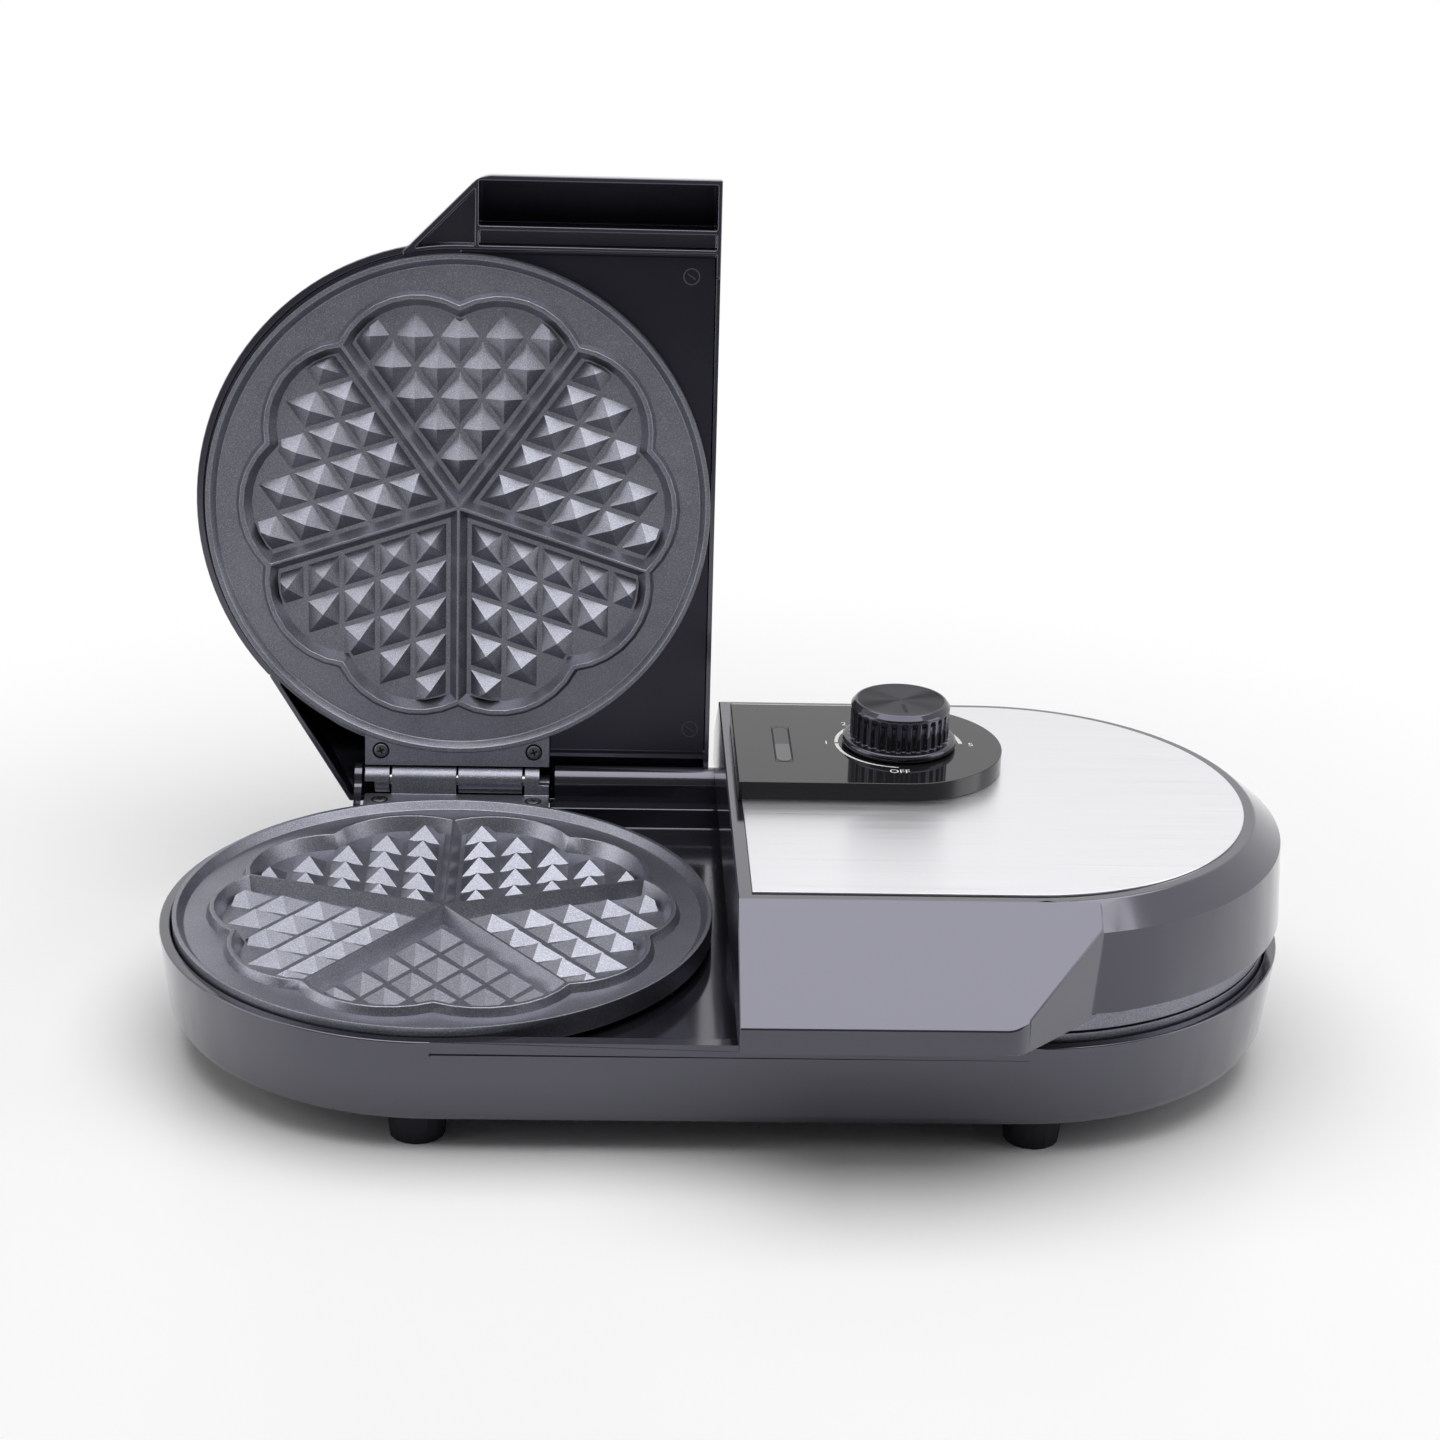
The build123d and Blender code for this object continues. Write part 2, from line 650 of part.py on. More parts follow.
def build_lid_shell(side):
    """Moulded lid: skirt, bevel, handle with its finger pockets, and the cowl over the hinge."""
    frame = lid_frame(side)
    handle = handle_block(side)
    roof = under_roof(side, 0)
    hollow = cowl_hollow(side)
    inside = side * (side_wall - inner_wall)
    skirt_draft = (skirt_radius - bevel_foot_radius) / (bevel_height_at(bevel_foot_radius) - skirt_bottom)
    skirt = [(skirt_radius, skirt_bottom), (skirt_radius - skirt_draft * (top_rim_height - skirt_bottom),
                                            top_rim_height)]
    mouth = lip_bottom - seat
    plate_seat = plate_gap / 2 + plate_height + seat
    rib_inner = rib_x - rib_width / 2
    rib_outer = rib_x + rib_width / 2
    pocket_front = handle_reach - lip_wall
    corner_front = handle_corner - wall * sqrt(2) + handle_reach
    with BuildPart() as shell:
        round_end(frame, side, skirt)
        straight_run(frame, -side * inner_wall, 0, skirt)
        with BuildSketch(frame.offset(skirt_bottom)) as cowl:
            cowl_outline(side)
        extrude(cowl.sketch, amount=top_rim_height - skirt_bottom)
        add(roof.part, mode=Mode.INTERSECT)
        add(handle.part)
        with BuildSketch(frame.offset(mouth)) as plate_recess:
            Circle(chamber_mouth)
        extrude(plate_recess.sketch, amount=plate_seat - mouth, mode=Mode.SUBTRACT)
        block(frame, inside, 0, -chamber_mouth, chamber_mouth, mouth, liner_level + liner_thickness,
              Mode.SUBTRACT)
        with BuildSketch(frame.offset(mouth)) as chamber:
            RegularPolygon(top_rim_radius, chamber_sides)
            Polygon((inside, -chamber_half_depth), (0, -chamber_half_depth), (0, chamber_half_depth),
                    (inside, chamber_half_depth), align=None)
        extrude(chamber.sketch, amount=ceiling - mouth, mode=Mode.SUBTRACT)
        add(hollow.part, mode=Mode.SUBTRACT)
        bar(frame, inside, side * rib_inner, [
            (-pocket_front, mouth), (-pocket_front, bevel_height_at(pocket_front) - roof_drop),
            (-pocket_rear, bevel_height_at(pocket_rear) - roof_drop), (-pocket_rear, mouth)],
            Mode.SUBTRACT)
        block(frame, inside, side * rib_inner, -slot_front, -partition_radius, mouth,
              mouth + slot_height, Mode.SUBTRACT)
        with BuildSketch(frame.offset(mouth)) as corner_pocket:
            Polygon(*plan(side, [(rib_outer, -top_rim_radius), (rib_outer, rib_outer - corner_front),
                                 (corner_front - top_rim_radius, -top_rim_radius)]), align=None)
            Circle(partition_radius, mode=Mode.SUBTRACT)
        extrude(corner_pocket.sketch, amount=slot_height, mode=Mode.SUBTRACT)
        for x, y in lug_screws:
            block(frame, x - post_width / 2, x + post_width / 2, y - post_width / 2, y + post_width / 2,
                  post_bottom, post_height)
        shaft_hole(frame, side * console_centre[0], console_centre[1], ceiling - sink,
                   top_rim_height + sink, seat)
        rod(frame, -side * (inner_wall + wall), side * (2 * wall - inner_wall), hinge_y, hinge_z,
            hinge_bar_radius + cowl_clearance, Mode.SUBTRACT)
    finish(shell, f"lid_shell_{sided(side)}")


def half_moon(side, radius, inner_x):
    """Plan of a straight-sided panel with a round end away from the middle."""
    Circle(radius)
    Polygon(*plan(side, [(0, -radius), (0, radius), (inner_x, radius), (inner_x, -radius)]), align=None)


def build_lid_cover(side):
    """Brushed steel sheet on the lid's top."""
    with BuildPart() as cover:
        with BuildSketch(lid_frame(side).offset(top_rim_height)) as outline:
            half_moon(side, cover_radius, cover_inset - inner_wall)
        extrude(outline.sketch, amount=steel_thickness)
        shaft_hole(lid_frame(side), side * console_centre[0], console_centre[1], top_rim_height - sink,
                   steel_top + sink, seat)
    finish(cover, f"lid_cover_{sided(side)}")


def build_liner(side):
    """Flat panel that closes the lid's underside beside the plate."""
    edge = side_wall + seat - inner_wall
    with BuildPart() as liner:
        with BuildSketch(lid_frame(side).offset(liner_level)) as outline:
            Polygon(*plan(side, [(edge, -liner_reach), (0, -liner_reach), (0, liner_reach),
                                 (edge, liner_reach)]), align=None)
            RegularPolygon(liner_opening, chamber_sides, mode=Mode.SUBTRACT)
            Polygon(*plan(side, [(-lug_half_width, post_zone), (0, post_zone), (0, liner_reach),
                                 (-lug_half_width, liner_reach)]), align=None, mode=Mode.SUBTRACT)
        extrude(outline.sketch, amount=liner_thickness)
    finish(liner, f"lid_liner_{sided(side)}")


def build_console(side):
    """Control panel: round at one end, with the knob's bearing and the seat of the pilot light."""
    frame = lid_frame(side)
    across, rearward = console_centre
    with BuildPart() as console:
        with BuildSketch(frame.offset(steel_top)) as outline:
            with Locations((side * across, rearward)):
                half_moon(side, console_radius, console_inset - inner_wall - across)
        extrude(outline.sketch, amount=console_height)
        shaft_hole(frame, side * across, rearward, steel_top - sink, console_top + sink, seat)
        with BuildSketch(frame.offset(console_top - lens_depth)) as light:
            with Locations((side * lens_centre[0], lens_centre[1])):
                Rectangle(*lens_size)
        extrude(light.sketch, amount=lens_depth, mode=Mode.SUBTRACT)
    finish(console, f"console_{sided(side)}")


def build_lens(side):
    """The pilot light's two windows, flush with the console."""
    width, length = lens_size
    with BuildPart() as lens:
        with BuildSketch(lid_frame(side).offset(console_top - lens_depth)) as windows:
            with Locations((side * lens_centre[0], lens_centre[1])):
                with GridLocations(0, length / 2, 1, 2):
                    Rectangle(width - lens_clearance, length / 2 - lens_split)
        extrude(windows.sketch, amount=lens_depth)
    finish(lens, f"lens_{sided(side)}")


def build_switch(side):
    """Thermostat and switch under the lid's top, bored for the knob's shaft."""
    frame = lid_frame(side)
    width, depth, height = switch_size
    x, y = side * console_centre[0], console_centre[1]
    with BuildPart() as switch:
        block(frame, x - width / 2, x + width / 2, y - depth / 2, y + depth / 2, ceiling - height, ceiling)
        shaft_hole(frame, x, y, ceiling - shaft_tip - seat, ceiling + sink, running)
    finish(switch, f"switch_{sided(side)}")


def build_knob(side):
    """Control knob on its shaft: a flange, a fluted grip and a bevelled crown."""
    frame = lid_frame(side)
    x, y = side * console_centre[0], console_centre[1]
    centre = Plane(frame.from_local_coords(Vector(x, y, knob_bottom)), x_dir=frame.x_dir, z_dir=frame.z_dir)
    grip_top = knob_height - crown_height
    grip_points = []
    for flute in range(flutes):
        for radius, turn in ((knob_radius - flute_depth, 0), (knob_radius, 0.5)):
            point = Vector(radius, 0, 0).rotate(Axis.Z, (flute + turn) * 360 / flutes)
            grip_points.append((point.X, point.Y))
    with BuildPart() as knob:
        with BuildSketch(centre) as flange:
            RegularPolygon(flange_radius, knob_sides)
        extrude(flange.sketch, amount=flange_height)
        with BuildSketch(centre.offset(flange_height)) as grip:
            Polygon(*grip_points, align=None)
        extrude(grip.sketch, amount=grip_top - flange_height)
        with BuildSketch(centre.offset(grip_top)) as crown:
            RegularPolygon(crown_radius, knob_sides)
        extrude(crown.sketch, amount=crown_height)
        columns(centre, [(0, 0)], ceiling - shaft_tip - knob_bottom, 0, shaft_radius)
    finish(knob, f"knob_{sided(side)}")


build_base()
build_base_panel()
build_feet()
build_terminals()
build_hinge_pins()
build_lower_plates()
for iron_side in (-1, 1):
    for is_upper in (False, True):
        build_heater(iron_side, is_upper)
        build_shield(iron_side, is_upper)
    build_upper_plate(iron_side)
    build_lid_shell(iron_side)
    build_lid_cover(iron_side)
    build_liner(iron_side)
    build_console(iron_side)
    build_lens(iron_side)
    build_switch(iron_side)
    build_knob(iron_side)
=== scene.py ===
"""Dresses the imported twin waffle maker: rounded edges, knobs, dials, screws, finishes, floor, light, camera.

Metres, in the model's own frame. Places on a lid are written in the lid's local frame: x to the right,
y to the rear and z out of the lid's top, from the plate's centre in the plane where the plates meet.
"""

import json
from math import cos, pi, radians, sin

import bmesh
import bpy
from mathutils import Matrix, Vector
from mathutils.geometry import intersect_line_line_2d, intersect_point_line


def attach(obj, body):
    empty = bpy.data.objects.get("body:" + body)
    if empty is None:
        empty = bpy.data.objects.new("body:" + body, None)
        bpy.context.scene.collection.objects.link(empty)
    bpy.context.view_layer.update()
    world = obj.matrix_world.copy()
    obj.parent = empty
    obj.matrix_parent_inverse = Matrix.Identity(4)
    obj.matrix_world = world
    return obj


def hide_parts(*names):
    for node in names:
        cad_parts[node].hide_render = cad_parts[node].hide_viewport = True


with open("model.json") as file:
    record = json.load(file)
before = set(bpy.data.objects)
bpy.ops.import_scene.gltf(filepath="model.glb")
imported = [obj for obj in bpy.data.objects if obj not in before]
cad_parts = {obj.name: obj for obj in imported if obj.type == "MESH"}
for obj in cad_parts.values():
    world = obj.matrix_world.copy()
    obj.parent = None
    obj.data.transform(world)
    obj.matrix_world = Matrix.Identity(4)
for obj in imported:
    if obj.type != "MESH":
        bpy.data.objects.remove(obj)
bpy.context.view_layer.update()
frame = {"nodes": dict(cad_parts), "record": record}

# Places of the CAD part that the pieces here are set by
HALF_PITCH = 0.1073  # from the middle of the base to a plate's centre
IRON_Y = -0.0331735  # of both plates' centres
PARTING = 0.0508  # height of the plane where the plates meet
HINGE_Y = 0.1163
HINGE_Z = 0.0033
OPEN_ANGLE = 98.0
PLATE_GAP = 0.0008
LUG_TOP = -0.0006
CONSOLE_TOP = 0.0567
KNOB_BOTTOM = 0.0570
KNOB_CENTRE = (0.038, 0.0314)  # on the right lid x counts to the left, and on the left lid to the right
LENS_CENTRE = (0.084, 0.0294)
LUG_SCREWS = ((-0.0321, 0.1036), (0.0321, 0.1036))
LINER_FACE = 0.0096
SIDES = {"left": -1, "right": 1}


def lid_matrix(side):
    """Place of a lid's local frame at rest: the left lid stands open."""
    place = Matrix.Translation((side * HALF_PITCH, IRON_Y, PARTING))
    if side > 0:
        return place
    hinge = Matrix.Translation((0, HINGE_Y, HINGE_Z))
    return place @ hinge @ Matrix.Rotation(-radians(OPEN_ANGLE), 4, "X") @ hinge.inverted()


def lower_plate_matrix(side):
    """Place of a lower plate's frame, z out of its cooking face."""
    return Matrix.Translation((side * HALF_PITCH, IRON_Y, PARTING - PLATE_GAP / 2))


def upper_plate_matrix(side):
    """Place of an upper plate's frame, turned over to face down when the lid is shut."""
    return lid_matrix(side) @ Matrix.Translation((0, 0, PLATE_GAP / 2)) @ Matrix.Rotation(pi, 4, "Y")


# Materials


def new_material(name):
    """A material with its nodes, links and shader."""
    material = bpy.data.materials.new(name)
    material.use_nodes = True
    tree = material.node_tree
    return material, tree.nodes, tree.links, tree.nodes["Principled BSDF"]


def node(nodes, kind, place=(0, 0), **values):
    """A new node with its settings and inputs; a space in an input's name is written as an underscore."""
    made = nodes.new(kind)
    made.location = place
    for key, value in values.items():
        if hasattr(made, key):
            setattr(made, key, value)
        else:
            made.inputs[key.replace("_", " ")].default_value = value
    return made


def stretched(nodes, links, scale, **values):
    """A noise texture on object coordinates, stretched by three scales."""
    coordinates = node(nodes, "ShaderNodeTexCoord", (-1200, 0))
    mapping = node(nodes, "ShaderNodeMapping", (-1000, 0), Scale=scale)
    texture = node(nodes, "ShaderNodeTexNoise", (-800, 0), **values)
    links.new(coordinates.outputs["Object"], mapping.inputs["Vector"])
    links.new(mapping.outputs["Vector"], texture.inputs["Vector"])
    return texture


def span(nodes, links, source, low, high, from_low=0.3, from_high=0.7):
    """A texture's value carried over to a span of numbers."""
    made = node(nodes, "ShaderNodeMapRange", (-500, -200), From_Min=from_low, From_Max=from_high, To_Min=low,
                To_Max=high)
    links.new(source, made.inputs["Value"])
    return made.outputs["Result"]


def shades(nodes, links, source, stops):
    """A texture's value as a ramp of greys or colours."""
    ramp = node(nodes, "ShaderNodeValToRGB", (-500, 200))
    elements = ramp.color_ramp.elements
    while len(elements) < len(stops):
        elements.new(0.5)
    for element, (position, color) in zip(elements, stops):
        element.position = position
        element.color = (*color, 1)
    links.new(source, ramp.inputs["Fac"])
    return ramp.outputs["Color"]


def relief(nodes, links, source, strength, distance, bsdf):
    """A texture's value as fine relief."""
    bump = node(nodes, "ShaderNodeBump", (-300, -400), Strength=strength, Distance=distance)
    links.new(source, bump.inputs["Height"])
    links.new(bump.outputs["Normal"], bsdf.inputs["Normal"])


def moulded(name, dark, light, rough, gloss=0.5, grain=0.00002, tint=(0.8, 0.79, 1.0), coat=0.0):
    """Moulded plastic: slow changes of shade and gloss, and a fine skin."""
    material, nodes, links, bsdf = new_material(name)
    slow = stretched(nodes, links, (1, 1, 1), Scale=14.0, Detail=3.0, Roughness=0.55)
    links.new(shades(nodes, links, slow.outputs["Fac"], ((0.3, dark), (0.7, light))), bsdf.inputs["Base Color"])
    links.new(span(nodes, links, slow.outputs["Fac"], rough * 0.88, rough * 1.15), bsdf.inputs["Roughness"])
    fine = stretched(nodes, links, (1, 1, 1), Scale=1500.0, Detail=2.0, Roughness=0.5)
    relief(nodes, links, fine.outputs["Fac"], 0.3, grain, bsdf)
    bsdf.inputs["IOR"].default_value = 1.5
    bsdf.inputs["Specular IOR Level"].default_value = gloss
    # The default tint colours the plastic's reflections bluish in place of a bluish studio light: painted colour of
    # the light in the reflections.
    bsdf.inputs["Specular Tint"].default_value = (*tint, 1)
    bsdf.inputs["Coat Weight"].default_value = coat
    bsdf.inputs["Coat Roughness"].default_value = rough / 2
    return material


def brushed(name, dark, light, rough, scale, anisotropy):
    """Brushed metal: fine streaks, with reflections drawn out across them."""
    material, nodes, links, bsdf = new_material(name)
    streaks = stretched(nodes, links, scale, Scale=1.0, Detail=6.0, Roughness=0.65)
    links.new(shades(nodes, links, streaks.outputs["Fac"], ((0.25, dark), (0.75, light))), bsdf.inputs["Base Color"])
    links.new(span(nodes, links, streaks.outputs["Fac"], rough * 0.9, rough * 1.1), bsdf.inputs["Roughness"])
    relief(nodes, links, streaks.outputs["Fac"], 0.08, 0.00001, bsdf)
    bsdf.inputs["Metallic"].default_value = 1.0
    bsdf.inputs["Anisotropic"].default_value = anisotropy
    tangent = node(nodes, "ShaderNodeTangent", (-300, -600), direction_type="RADIAL", axis="X")
    links.new(tangent.outputs["Tangent"], bsdf.inputs["Tangent"])
    return material


def cast_coating():
    """Dark non-stick coating on a casting: a fine metallic grain on a slightly uneven ground."""
    material, nodes, links, bsdf = new_material("plate_coating")
    ground = stretched(nodes, links, (1, 1, 1), Scale=60.0, Detail=4.0, Roughness=0.6)
    base = shades(nodes, links, ground.outputs["Fac"], ((0.3, (0.17, 0.174, 0.21)), (0.7, (0.21, 0.215, 0.255))))
    specks = stretched(nodes, links, (1, 1, 1), Scale=2100.0, Detail=2.0, Roughness=0.7)
    pale = span(nodes, links, specks.outputs["Fac"], 0.0, 0.6, 0.46, 0.74)
    mix = node(nodes, "ShaderNodeMix", (-200, 200), data_type="RGBA")
    factor, ground_color, speck_color, mixed = mix.inputs[0], mix.inputs[6], mix.inputs[7], mix.outputs[2]
    speck_color.default_value = (0.5, 0.5, 0.54, 1)
    links.new(pale, factor)
    links.new(base, ground_color)
    links.new(mixed, bsdf.inputs["Base Color"])
    links.new(span(nodes, links, specks.outputs["Fac"], 0.3, 0.38), bsdf.inputs["Roughness"])
    relief(nodes, links, specks.outputs["Fac"], 0.35, 0.00005, bsdf)
    bsdf.inputs["Metallic"].default_value = 0.85
    return material


def spun_top():
    """The knob's top: black, turned in fine rings that spread its gloss outwards."""
    material, nodes, links, bsdf = new_material("knob_top")
    coordinates = node(nodes, "ShaderNodeTexCoord", (-1400, 0))
    split = node(nodes, "ShaderNodeSeparateXYZ", (-1200, 0))
    square_x = node(nodes, "ShaderNodeMath", (-1000, 100), operation="MULTIPLY")
    square_y = node(nodes, "ShaderNodeMath", (-1000, -100), operation="MULTIPLY")
    total = node(nodes, "ShaderNodeMath", (-800, 0), operation="ADD")
    radius = node(nodes, "ShaderNodeMath", (-600, 0), operation="SQRT")
    rings = node(nodes, "ShaderNodeTexNoise", (-400, 0), noise_dimensions="1D", Scale=9000.0, Detail=3.0)
    links.new(coordinates.outputs["Object"], split.inputs["Vector"])
    for axis, square in (("X", square_x), ("Y", square_y)):
        links.new(split.outputs[axis], square.inputs[0])
        links.new(split.outputs[axis], square.inputs[1])
        links.new(square.outputs[0], total.inputs[0 if axis == "X" else 1])
    links.new(total.outputs[0], radius.inputs[0])
    links.new(radius.outputs[0], rings.inputs["W"])
    links.new(shades(nodes, links, rings.outputs["Fac"], ((0.3, (0.045, 0.045, 0.052)), (0.7, (0.085, 0.085, 0.096)))),
              bsdf.inputs["Base Color"])
    links.new(span(nodes, links, rings.outputs["Fac"], 0.66, 0.74), bsdf.inputs["Roughness"])
    bsdf.inputs["Metallic"].default_value = 0.85
    bsdf.inputs["Anisotropic"].default_value = 1.0
    bsdf.inputs["Anisotropic Rotation"].default_value = 0.25
    tangent = node(nodes, "ShaderNodeTangent", (-300, -600), direction_type="RADIAL", axis="Z")
    links.new(tangent.outputs["Tangent"], bsdf.inputs["Tangent"])
    return material


def printed():
    """White printing ink, a little uneven."""
    material, nodes, links, bsdf = new_material("dial_print")
    fine = stretched(nodes, links, (1, 1, 1), Scale=2500.0, Detail=2.0)
    links.new(shades(nodes, links, fine.outputs["Fac"], ((0.3, (0.72, 0.72, 0.72)), (0.7, (0.86, 0.86, 0.86)))),
              bsdf.inputs["Base Color"])
    links.new(span(nodes, links, fine.outputs["Fac"], 0.42, 0.55), bsdf.inputs["Roughness"])
    return material


HOUSING = moulded("housing", (0.014, 0.0135, 0.018), (0.019, 0.0185, 0.024), 0.14, gloss=1.0, coat=0.65)
STEEL = brushed("steel_cover", (0.73, 0.725, 0.75), (0.77, 0.765, 0.79), 0.3, (9, 900, 900), 0.6)
COATING = cast_coating()
CONSOLE = moulded("console_plastic", (0.010, 0.010, 0.011), (0.014, 0.014, 0.015), 0.07, grain=0.000002,
                  tint=(1.0, 0.99, 1.0))
KNOB = moulded("knob_plastic", (0.008, 0.008, 0.009), (0.012, 0.012, 0.013), 0.1, gloss=0.9, grain=0.000004)
KNOB_TOP = spun_top()
PRINT = printed()
LENS_DARK = moulded("lens_dark", (0.02, 0.02, 0.022), (0.028, 0.028, 0.03), 0.08, grain=0.000002)
LENS_PALE = moulded("lens_pale", (0.09, 0.09, 0.09), (0.12, 0.12, 0.12), 0.10, grain=0.000002)
LINER = moulded("liner_plastic", (0.008, 0.0078, 0.012), (0.011, 0.0108, 0.016), 0.2, gloss=0.5)
# Paler than the liner: a painted highlight standing in for the light that the marks' raised edges catch.
PAINTED_HIGHLIGHT_MARK = moulded("liner_mark_painted_highlight", (0.035, 0.035, 0.042), (0.055, 0.055, 0.062), 0.3, gloss=0.8)
RUBBER = moulded("foot_rubber", (0.006, 0.006, 0.007), (0.01, 0.01, 0.011), 0.6, gloss=0.3, grain=0.00008)
SHEET = moulded("underside_sheet", (0.03, 0.03, 0.032), (0.042, 0.042, 0.044), 0.5, grain=0.00004)
BRIGHT = brushed("bright_steel", (0.5, 0.5, 0.5), (0.62, 0.62, 0.62), 0.28, (900, 60, 60), 0.2)
SCREW = brushed("dark_screw", (0.12, 0.12, 0.13), (0.2, 0.2, 0.21), 0.34, (300, 300, 300), 0.0)
HEATER = brushed("heater_tube", (0.2, 0.19, 0.18), (0.3, 0.29, 0.27), 0.5, (120, 120, 120), 0.0)
SHIELD = brushed("shield_sheet", (0.55, 0.55, 0.56), (0.68, 0.68, 0.68), 0.35, (40, 400, 400), 0.2)
INNER = moulded("inner_plastic", (0.42, 0.4, 0.35), (0.5, 0.48, 0.43), 0.5, tint=(1, 1, 1))
# Near-black: the knob's pointer line and the seam round the pilot windows, and on the screws painted shade of their
# counterbores and cross recesses.
DARK_LINE_AND_PAINTED_SHADE = moulded("dark_line_and_painted_shade", (0.003, 0.003, 0.003), (0.005, 0.005, 0.005), 0.5, gloss=0.2)

BY_SLOT = {
    "housing": HOUSING, "steel_cover": STEEL, "plate_coating": COATING, "console_plastic": CONSOLE,
    "knob_plastic": KNOB, "lens_plastic": LENS_PALE, "liner_plastic": LINER, "underside_sheet": SHEET,
    "foot_rubber": RUBBER, "bright_steel": BRIGHT, "heater_tube": HEATER, "shield_sheet": SHIELD,
    "inner_plastic": INNER,
}
slot_of = {entry["node"]: entry["material_slot"] for entry in frame["record"]["subparts"]}
for name, thing in frame["nodes"].items():
    thing.data.materials.clear()
    thing.data.materials.append(BY_SLOT[slot_of[name]])
body_of = {name: body for body, names in frame["record"]["behaviour"]["bodies"].items() for name in names}


# Pieces


def make_piece(name, work, materials, body, place=None):
    """A piece from a bmesh, riding on its body."""
    mesh = bpy.data.meshes.new(name)
    work.to_mesh(mesh)
    work.free()
    piece = bpy.data.objects.new(name, mesh)
    bpy.context.scene.collection.objects.link(piece)
    for material in materials:
        mesh.materials.append(material)
    if place is not None:
        piece.matrix_world = place
    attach(piece, body)
    return piece


# Rounding of the CAD nodes' edges
FLAT_ANGLE = 0.6  # facets that turn by less count as one face
BEVEL_ANGLE = 28  # sharper edges are rounded
SHARP_ANGLE = 33  # sharper edges stay sharp in the shading
ROOM = 2.1  # widths of free face that a rounded edge has on each side
SPARED = 5  # widths round a fault in which no edge is rounded
ATTEMPTS = 6
AREA_TOLERANCE = 1e-6
FEWEST_CORNERS = 8  # a smaller face at fault is spared as a whole
CREASE = (0.0385, 0.0425)  # heights of a lid shell's crease
PLATE_REACH = 0.106  # half the width in which an edge belongs to a plate
PLATE_LAND = -0.0004  # the tops of the ridges, dividers and rim lie above it
PLATE_WALL = 0.0985  # radius outside which the rim and the lug lie


def shade(piece):
    """Smooth shading that keeps sharp edges."""
    mesh = piece.data
    mesh.polygons.foreach_set("use_smooth", [True] * len(mesh.polygons))
    work = bmesh.new()
    work.from_mesh(mesh)
    for edge in work.edges:
        edge.smooth = len(edge.link_faces) == 2 and edge.calc_face_angle(0) < radians(SHARP_ANGLE)
    work.to_mesh(mesh)
    work.free()


def lid_edge(side):
    """Edges of a lid shell that are rounded: all but the crease round its sloping edge."""
    inverse = lid_matrix(side).inverted()

    def chosen(edge):
        ends = [inverse @ vertex.co for vertex in edge.verts]
        return not all(CREASE[0] < end.z < CREASE[1] for end in ends)
    return chosen


def point_to_edge(point, edge):
    """Distance from a point to an edge."""
    _, share = intersect_point_line(point, edge.verts[0].co, edge.verts[1].co)
    share = min(max(share, 0), 1)
    return (edge.verts[0].co.lerp(edge.verts[1].co, share) - point).length


def has_room(edge, width):
    """Whether both faces beside an edge go on far enough for it to be rounded."""
    samples = [edge.verts[0].co.lerp(edge.verts[1].co, share) for share in (0.08, 0.5, 0.92)]
    for face in edge.link_faces:
        for other in face.edges:
            if other is edge or set(other.verts) & set(edge.verts):
                continue
            if min(point_to_edge(sample, other) for sample in samples) < ROOM * width:
                return False
    return True


def plate_edge(frames):
    """Edges of a cast plate that are rounded: ridges, dividers, rim and hinge, and none of the pyramids."""
    def chosen(edge):
        for inverse in frames:
            ends = [inverse @ vertex.co for vertex in edge.verts]
            if all(abs(end.x) < PLATE_REACH for end in ends):
                middle = (ends[0] + ends[1]) / 2
                return min(end.z for end in ends) > PLATE_LAND or middle.xy.length > PLATE_WALL
        return False
    return chosen


def rounded_piece(name, width, segments, chosen, spared):
    """A CAD node's copy with its chosen edges bevelled, leaving alone what lies near the spared points."""
    work = bmesh.new()
    work.from_mesh(frame["nodes"][name].data)
    bmesh.ops.remove_doubles(work, verts=work.verts, dist=1e-6)
    bmesh.ops.dissolve_limit(work, angle_limit=radians(FLAT_ANGLE), verts=work.verts, edges=work.edges)
    weight = work.edges.layers.float.new("bevel_weight_edge")
    for edge in work.edges:
        if len(edge.link_faces) != 2 or edge.calc_face_angle(0) < radians(BEVEL_ANGLE):
            continue
        if chosen and not chosen(edge) or not has_room(edge, width):
            continue
        if all(point_to_edge(point, edge) > SPARED * width for point in spared):
            edge[weight] = 1.0
    mesh = bpy.data.meshes.new(f"{name}_finished")
    work.to_mesh(mesh)
    work.free()
    piece = bpy.data.objects.new(f"{name}_finished", mesh)
    bpy.context.scene.collection.objects.link(piece)
    bevel = piece.modifiers.new("rounding", "BEVEL")
    bevel.width = width
    bevel.segments = segments
    bevel.limit_method = "WEIGHT"
    bevel.use_clamp_overlap = False
    bevel.miter_outer = "MITER_ARC"
    settle(piece)
    return piece


def soften(name, width, segments, chosen=None):
    """A CAD node with its edges rounded as the moulding, casting or sheet has them."""
    spared = []
    for attempt in range(ATTEMPTS):
        piece = rounded_piece(name, width, segments, chosen, spared)
        found = flaws(piece.data)
        if not found:
            break
        spared += found
        if attempt < ATTEMPTS - 1:
            bpy.data.objects.remove(piece)
    piece.data.materials.clear()
    piece.data.materials.append(BY_SLOT[slot_of[name]])
    shade(piece)
    piece.modifiers.new("flats", "WEIGHTED_NORMAL").keep_sharp = True
    settle(piece)
    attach(piece, body_of[name])
    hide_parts(name)


